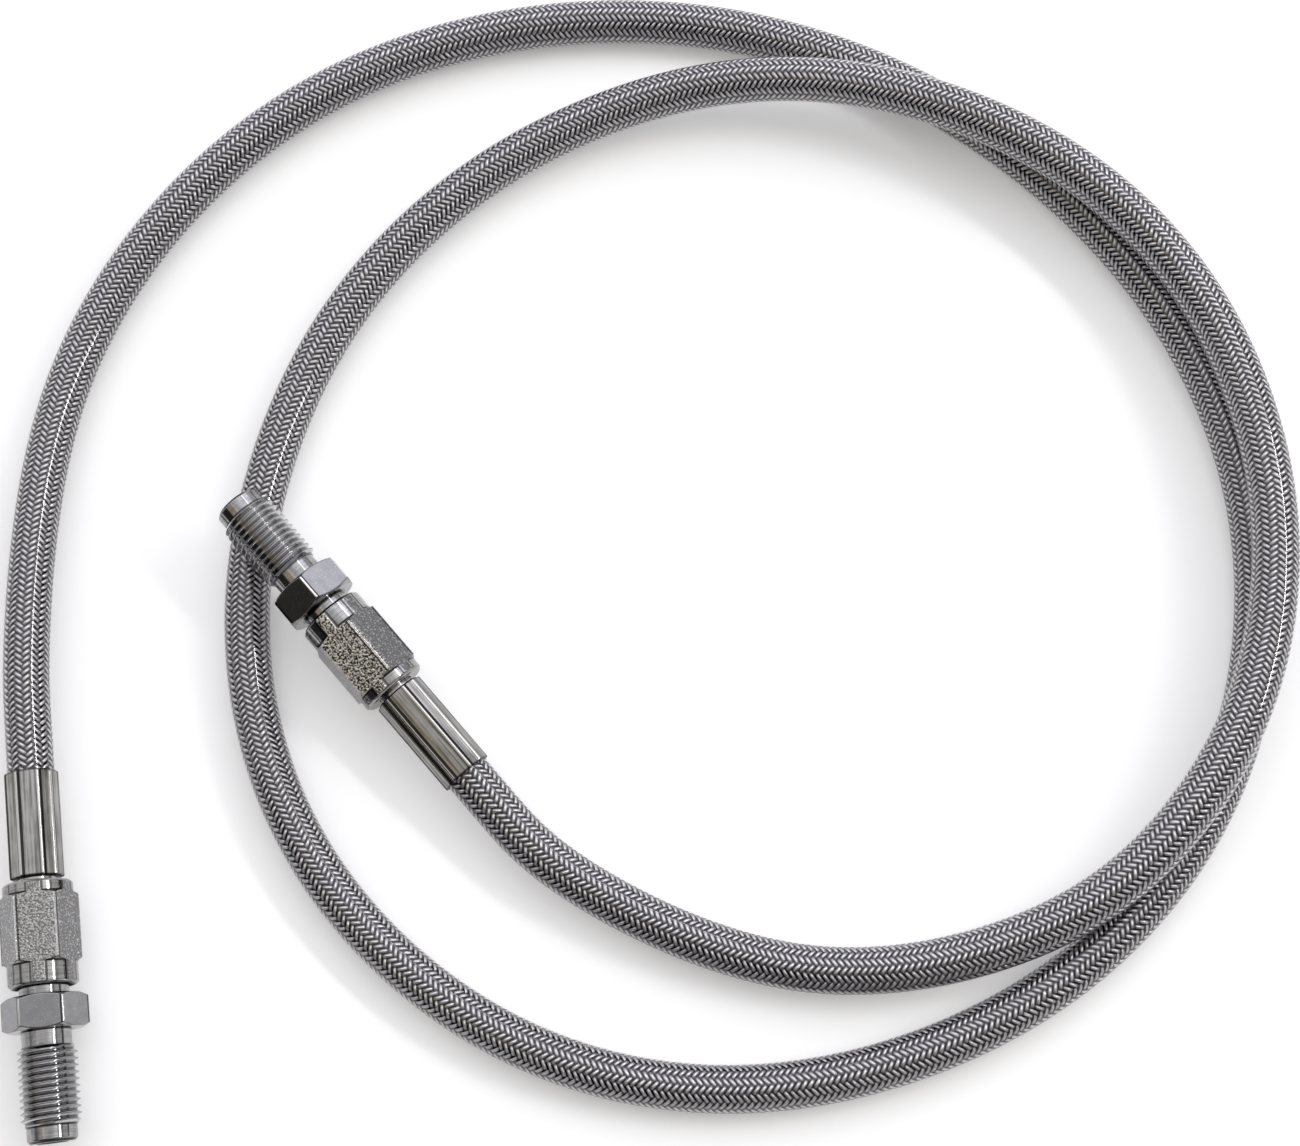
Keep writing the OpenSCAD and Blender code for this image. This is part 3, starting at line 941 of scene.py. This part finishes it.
def nut_metal(end):
    """Bright turned collars, grained flats, painted corner highlights and painted shade in the
    steps.
    """
    material, tree, bsdf = new_material("grained_nut_" + end, Metallic=1.0)
    local = fitting_frame(tree, end)
    height = height_of(tree, local)
    off_flat, radius, corner_highlight, beside_flat, beside_corner = place_group(
        tree, hexagon_edges, fitting_frame(tree, end, NUT_TURN[end]), NUT_AF / 2 * MM,
        corner_highlight_r(NUT_AF) * MM, COLLAR_R * MM, *NUT_LINE,
    )
    on_flat = ramp_between(tree, off_flat, -0.05 * MM, -0.01 * MM)
    out_to_coarse = facing(tree, local, COARSE_FLAT[end])
    coarse = ramp_between(tree, out_to_coarse, 0.425 * NUT_AF * MM, 0.485 * NUT_AF * MM)
    pits, grains = place_group(tree, pressed_grain, local)
    shade, rings = place_group(tree, tool_marks, local)
    rough_flat = shade_ramp(tree, pits, *GRAIN_GREYS[end], 0.4, 0.6)
    fine_flat = shade_ramp(tree, grains, *FINE_GREYS, 0.5, 0.72)
    flats = mix_colours(tree, coarse, fine_flat, rough_flat)
    colour = mix_colours(tree, on_flat, shade_ramp(tree, shade, *COLLAR_GREYS), flats)
    # Painted highlight along each rounded corner
    colour = mix_colours(tree, corner_highlight, colour, CORNER_PAINTED_HIGHLIGHTS[end])
    # Painted shade in the steps between the hexagon and the collars
    drop = (NUT_AF / math.sqrt(3) - COLLAR_R) * SHOULDER_SLOPE
    rear = (NUT_Z + NUT_REAR - drop) * MM
    front = (NUT_Z + NUT_L - NUT_FRONT + drop) * MM
    in_steps = math_node(
        tree, "MAXIMUM",
        within(tree, height, rear - 0.12 * MM, rear + 0.04 * MM, 0.12 * MM),
        within(tree, height, front - 0.04 * MM, front + 0.12 * MM, 0.12 * MM),
    )
    below_flat = ramp_between(tree, off_flat, -0.1 * MM, -0.03 * MM, 1.0, 0.0)
    # Painted shade: the darkest of the steps, the lines beside flats and corners, and the bore
    painted_shade = darkest(
        tree,
        math_node(tree, "MULTIPLY", in_steps, below_flat),
        math_node(tree, "MULTIPLY", beside_flat, 0.75),
        math_node(tree, "MULTIPLY", beside_corner, 0.8),
        ramp_between(tree, radius, (NUT_BORE + 0.6) * MM, (NUT_BORE + 1.1) * MM, 0.85, 0.0),
    )
    colour = mix_colours(tree, painted_shade, colour, NUT_PAINTED_SHADE)
    tree.links.new(colour, bsdf.inputs["Base Color"])
    tree.links.new(ramp_between(tree, on_flat, 0, 1, 0.1, 0.29), bsdf.inputs["Roughness"])
    grain_height = math_node(
        tree, "ADD",
        math_node(tree, "MULTIPLY", pits, coarse), math_node(tree, "MULTIPLY", grains, 0.3),
    )
    raise_bumps(tree, bsdf, math_node(tree, "MULTIPLY", grain_height, on_flat), 1.0, 0.14 * MM)
    return material


for end, turn in NUT_TURN.items():
    nut = new_piece("grained_nut_" + end, lofted(
        hexagon_angles(turn, NUT_FLAT_EDGE),
        lambda angle: nut_outline(hexagon_radius(NUT_AF, turn, angle)),
    ))
    finish_metal(nut, end, 40)
    mount_piece(nut, end, nut_metal(end), "nut_" + end, "swivel_nut_" + end)


# ---- Adapters ------------------------------------------------------------------------
# Turned from hexagonal bar and bright plated: a cone and thread inside the nut, the
# hexagon for a spanner, a plain shank, the port thread and a plain pilot nose.
PITCH = 25.4 / 24
THREAD_R = 4.7625
ROOT_R = THREAD_R - 0.6134 * PITCH
CREST_HALF = PITCH / 16
THREAD_FLANK = math.tan(math.radians(30))
SHANK_R = 3.95
HEX_Z = 36.4
HEX_L = 5.4
HEX_AF = 12
HEX_TURN = {"a": 19, "b": 0}
HEX_FLAT_EDGE = 22
THREAD_Z = 44.3
PILOT_Z = 56.7
NOSE_Z = 59.3
NOSE_CHAMFER = 0.5
BORE_R = 1.6
INNER_TIP_Z = 22.9
INNER_LAND_Z = 25.1
INNER_LAND_R = 3.6
INNER_THREAD_Z = 26.0
INNER_THREAD_END = 33.7
PLATED_GREYS = ((0.22, 0.218, 0.221), (0.38, 0.377, 0.381))
SATIN_GREYS = ((0.235, 0.233, 0.238), (0.265, 0.263, 0.268))
SCRATCH_GREY = (0.6, 0.6, 0.6, 1)
# Thread flanks painted lighter than the crests, as a painted highlight
FLANK_GREY = (0.48, 0.475, 0.48, 1)
CREST_GREY = (0.3, 0.297, 0.3, 1)
# Painted shade in the thread roots, at the steps, on the nose and round the bore
ADAPTER_PAINTED_SHADE = (0.015, 0.014, 0.013, 1)
# The painted shade line beside each corner of the hexagon: its middle and half its width, in
# degrees
HEX_LINE = (2.8, 0.8)
CREST_EASE = 0.035
THREAD_STEPS = 64
TURNING_ANGLES = [3.75 * k for k in range(96)]


def adapter_outline(_angle):
    """The bar turned down to the roots of both threads, from the inner cone to the nose."""
    return [
        (BORE_R, INNER_TIP_Z, 0.05), (BORE_R + 0.4, INNER_TIP_Z, 0.05),
        (INNER_LAND_R, INNER_LAND_Z, 0.05), (INNER_LAND_R, INNER_THREAD_Z, 0.05),
        (ROOT_R, INNER_THREAD_Z, 0.05), (ROOT_R, INNER_THREAD_END, 0.05),
        (SHANK_R, INNER_THREAD_END, 0.05), (SHANK_R, THREAD_Z, 0.05),
        (ROOT_R, THREAD_Z, 0.05), (ROOT_R, PILOT_Z, 0.05), (SHANK_R, PILOT_Z, 0.05),
        (SHANK_R, NOSE_Z - NOSE_CHAMFER, 0.1), (SHANK_R - NOSE_CHAMFER, NOSE_Z, 0.1),
        (BORE_R + 1, NOSE_Z, 0.05), (BORE_R, NOSE_Z - 1, 0.05),
    ]


def add_thread(shape, start, stop):
    """Winds a right-handed ridge with flanks at 60 degrees round the core, eased at its ends."""
    foot_r = ROOT_R - 0.06
    foot_half = CREST_HALF + (THREAD_R - foot_r) * THREAD_FLANK
    section = [
        (foot_r, -foot_half), (THREAD_R - CREST_EASE, -CREST_HALF - CREST_EASE / 2),
        (THREAD_R, -CREST_HALF + CREST_EASE), (THREAD_R, CREST_HALF - CREST_EASE),
        (THREAD_R - CREST_EASE, CREST_HALF + CREST_EASE / 2), (foot_r, foot_half),
    ]
    old = set(shape.verts)
    verts = [shape.verts.new((r * MM, 0, (start + z) * MM)) for r, z in section]
    face = shape.faces.new(verts)
    steps = round((stop - start) / PITCH * THREAD_STEPS)
    bmesh.ops.spin(
        shape, geom=[face], cent=(0, 0, 0), axis=(0, 0, 1),
        dvec=(0, 0, PITCH * MM / THREAD_STEPS), angle=math.tau * steps / THREAD_STEPS, steps=steps,
    )
    for vert in shape.verts:
        if vert in old:
            continue
        z = min(max(vert.co.z / MM, start), stop)
        limit = foot_r + min(z - start, stop - z)
        across = vert.co.xy
        across = across.normalized() * min(across.length, limit * MM)
        vert.co = (across.x, across.y, z * MM)


def spanner_outline(hex_r):
    """The hexagon's section at a given radius, with its corners chamfered at both ends."""
    flat_r = HEX_AF / 2 - 0.1
    drop = (hex_r - flat_r) * SHOULDER_SLOPE
    stop = HEX_Z + HEX_L
    return [
        (3, HEX_Z, 0.05), (flat_r, HEX_Z, 0.06), (hex_r, HEX_Z + drop, 0.12),
        (hex_r, stop - drop, 0.12), (flat_r, stop, 0.06), (3, stop, 0.05),
    ]


def adapter_metal(end):
    """Bright plating over lathe rings, duller flats, painted highlights, painted shade in thread
    and corners.
    """
    material, tree, bsdf = new_material("plated_adapter_" + end, Metallic=1.0)
    local = fitting_frame(tree, end)
    height = height_of(tree, local)
    off_flat, radius, corner_highlight, beside_flat, beside_corner = place_group(
        tree, hexagon_edges, fitting_frame(tree, end, HEX_TURN[end]), HEX_AF / 2 * MM,
        corner_highlight_r(HEX_AF) * MM, HEX_AF / 2 * MM, *HEX_LINE,
    )
    on_flat = ramp_between(tree, off_flat, -0.1 * MM, -0.02 * MM)
    shade, rings = place_group(tree, tool_marks, local)
    satin = shade_ramp(tree, noise(tree, local, 700, 4), *SATIN_GREYS)
    scratches = ramp_between(tree, noise(tree, local, 5200, 1), 0.7, 0.76)
    satin = mix_colours(tree, scratches, satin, SCRATCH_GREY)
    colour = mix_colours(tree, on_flat, shade_ramp(tree, shade, *PLATED_GREYS), satin)
    # Painted highlight along each rounded corner
    colour = mix_colours(tree, corner_highlight, colour, CORNER_PAINTED_HIGHLIGHTS[end])
    on_threads = math_node(
        tree, "MAXIMUM",
        within(tree, height, THREAD_Z * MM, PILOT_Z * MM, 0.05 * MM),
        within(tree, height, INNER_THREAD_Z * MM, INNER_THREAD_END * MM, 0.05 * MM),
    )
    # Painted highlight: the thread's flanks lighter than its crests
    crest = ramp_between(tree, radius, (THREAD_R - 0.14) * MM, (THREAD_R - 0.04) * MM)
    thread = mix_colours(tree, crest, FLANK_GREY, CREST_GREY)
    colour = mix_colours(tree, on_threads, colour, thread)
    # Painted shade in the thread roots
    roots = ramp_between(tree, radius, ROOT_R * MM, (ROOT_R + 0.16) * MM, 0.75, 0.0)
    by_steps = darkest(
        tree,
        within(tree, height, (HEX_Z - 0.2) * MM, HEX_Z * MM, 0.1 * MM),
        within(tree, height, (HEX_Z + HEX_L) * MM, (HEX_Z + HEX_L + 0.12) * MM, 0.1 * MM),
        within(tree, height, (PILOT_Z - 0.1) * MM, (PILOT_Z + 0.12) * MM, 0.1 * MM),
    )
    near_shank = ramp_between(tree, radius, (SHANK_R + 0.3) * MM, (SHANK_R + 0.6) * MM, 0.9, 0.0)
    # Painted shade: the darkest of the roots, the steps, the lines beside flats and corners, the
    # nose and the bore
    painted_shade = darkest(
        tree,
        math_node(tree, "MULTIPLY", roots, on_threads),
        math_node(tree, "MULTIPLY", by_steps, near_shank),
        math_node(tree, "MULTIPLY", beside_flat, 0.85),
        math_node(tree, "MULTIPLY", beside_corner, 0.85),
        ramp_between(tree, height, (NOSE_Z - NOSE_CHAMFER) * MM, (NOSE_Z - 0.3) * MM, 0.0, 0.9),
        ramp_between(tree, radius, (SHANK_R - NOSE_CHAMFER) * MM, (SHANK_R - 0.35) * MM, 0.9, 0.0),
    )
    colour = mix_colours(tree, painted_shade, colour, ADAPTER_PAINTED_SHADE)
    tree.links.new(colour, bsdf.inputs["Base Color"])
    tree.links.new(ramp_between(tree, on_flat, 0, 1, 0.1, 0.2), bsdf.inputs["Roughness"])
    raise_bumps(tree, bsdf, rings, 0.12, 0.02 * MM)
    return material


for end, turn in HEX_TURN.items():
    shape = lofted(TURNING_ANGLES, adapter_outline)
    add_thread(shape, THREAD_Z, PILOT_Z)
    add_thread(shape, INNER_THREAD_Z, INNER_THREAD_END)
    bmesh.ops.recalc_face_normals(shape, faces=shape.faces)
    adapter = new_piece("plated_adapter_" + end, shape)
    hexagon = new_piece("spanner_hexagon_" + end, lofted(
        hexagon_angles(turn, HEX_FLAT_EDGE),
        lambda angle: spanner_outline(hexagon_radius(HEX_AF, turn, angle)),
    ))
    plating = adapter_metal(end)
    for piece in (adapter, hexagon):
        finish_metal(piece, end, 40)
        mount_piece(piece, end, plating, "end_" + end, "adapter_" + end)


# ---- Table, background and lights -----------------------------------------------------
# A pale table top, with one large soft lamp over it and a narrow one in two parts at the
# upper right, in a pale room that the bright metal mirrors.
TABLE_R = 3
# The table's own light, as it is seen directly, in metal and through the clear jacket
TABLE_GLOW = 0.26


def table_top():
    """A matt white laminate that also shows white in what mirrors it."""
    material, tree, bsdf = new_material(
        "pale_table", Base_Color=(0.9, 0.9, 0.9, 1), Roughness=0.7,
        Emission_Color=(1, 1, 1, 1),
    )
    seen = tree.nodes.new("ShaderNodeLightPath").outputs
    directly = math_node(tree, "MAXIMUM", seen["Is Camera Ray"], seen["Is Glossy Ray"])
    at_all = math_node(tree, "MAXIMUM", directly, seen["Is Transmission Ray"])
    glow = math_node(tree, "MULTIPLY", at_all, TABLE_GLOW)
    tree.links.new(glow, bsdf.inputs["Emission Strength"])
    return material


shape = bmesh.new()
bmesh.ops.create_circle(shape, cap_ends=True, segments=64, radius=TABLE_R)
table = new_piece("table_top", shape)
finish_with(table, table_top())
table.location.z = -0.02 * MM

LAMP_DISTANCE = 1.2
STRIP_LEAN = math.radians(-80)
STRIP_SIZE = (0.08, 0.7)


def lamp(name, size, power, azimuth, elevation, lean=0.0, slide=0.0):
    """A soft lamp aimed at the table's middle, leant about its aim and slid along its length."""
    light = bpy.data.lights.new(name, "AREA")
    light.shape = "RECTANGLE"
    light.size, light.size_y = size
    light.energy = power
    item = bpy.data.objects.new(name, light)
    toward = Vector((
        math.cos(math.radians(elevation)) * math.cos(math.radians(azimuth)),
        math.cos(math.radians(elevation)) * math.sin(math.radians(azimuth)),
        math.sin(math.radians(elevation)),
    ))
    turned = toward.to_track_quat("Z", "Y") @ Quaternion((0, 0, 1), lean)
    item.location = toward * LAMP_DISTANCE + turned @ Vector((0, slide, 0))
    item.rotation_euler = turned.to_euler()
    scene.collection.objects.link(item)


lamp("overhead", (1.5, 1.5), power=3.6, azimuth=60, elevation=76)
lamp(
    "near_strip", STRIP_SIZE, power=3.6, azimuth=25, elevation=47,
    lean=STRIP_LEAN, slide=-STRIP_SIZE[1] / 2,
)
lamp(
    "far_strip", STRIP_SIZE, power=0.75, azimuth=25, elevation=47,
    lean=STRIP_LEAN, slide=STRIP_SIZE[1] / 2,
)

# How pale the room is by height, from 0 at the table's level to 1 overhead
ROOM_GREYS = (
    (0.0, 0.8), (0.38, 0.8), (0.43, 0.4), (0.5, 0.4), (0.6, 0.8), (0.84, 0.95), (0.93, 0.45),
    (1.0, 0.25),
)
# Soft patches on the room's walls: azimuth in degrees, tangent of the elevation, cosines of
# the angles off the middle at which a patch begins and is full, and its colour
ROOM_PATCHES = (
    (-90, 0.9, 0.55, 0.8, (0.26, 0.25, 0.24, 1)),
    (-140, 0.58, 0.74, 0.88, (0.04, 0.04, 0.04, 1)),
    (-155, 1.5, 0.93, 0.978, (0.6, 0.52, 0.4, 1)),
    (95, 0.7, 0.6, 0.85, (1.1, 1.1, 1.2, 1)),
    (47, 0.62, 0.974, 0.993, (1.9, 1.9, 2.1, 1)),
)


def studio_world():
    """A pale room: dark and warm low down toward the viewer, bright and cool behind."""
    world = bpy.data.worlds.new("studio")
    scene.world = world
    world.use_nodes = True
    tree = world.node_tree
    direction = tree.nodes.new("ShaderNodeTexCoord").outputs["Generated"]
    by_height = tree.nodes.new("ShaderNodeValToRGB")
    stops = by_height.color_ramp.elements
    for _ in ROOM_GREYS[2:]:
        stops.new(0.5)
    for stop, (position, grey) in zip(stops, ROOM_GREYS):
        stop.position = position
        stop.color = (grey, grey, grey, 1)
    feed(tree, by_height.inputs["Fac"], height_of(tree, direction))
    seen = by_height.outputs["Color"]
    for azimuth, tangent, start, full, colour in ROOM_PATCHES:
        way = math.radians(azimuth)
        toward = tree.nodes.new("ShaderNodeVectorMath")
        toward.operation = "DOT_PRODUCT"
        aim = Vector((math.cos(way), math.sin(way), tangent)).normalized()
        toward.inputs[1].default_value = aim
        feed(tree, toward.inputs[0], direction)
        near = ramp_between(tree, toward.outputs["Value"], start, full)
        seen = mix_colours(tree, near, seen, colour)
    feed(tree, tree.nodes["Background"].inputs["Color"], seen)


studio_world()

bpy.data.objects.remove(hose_line)
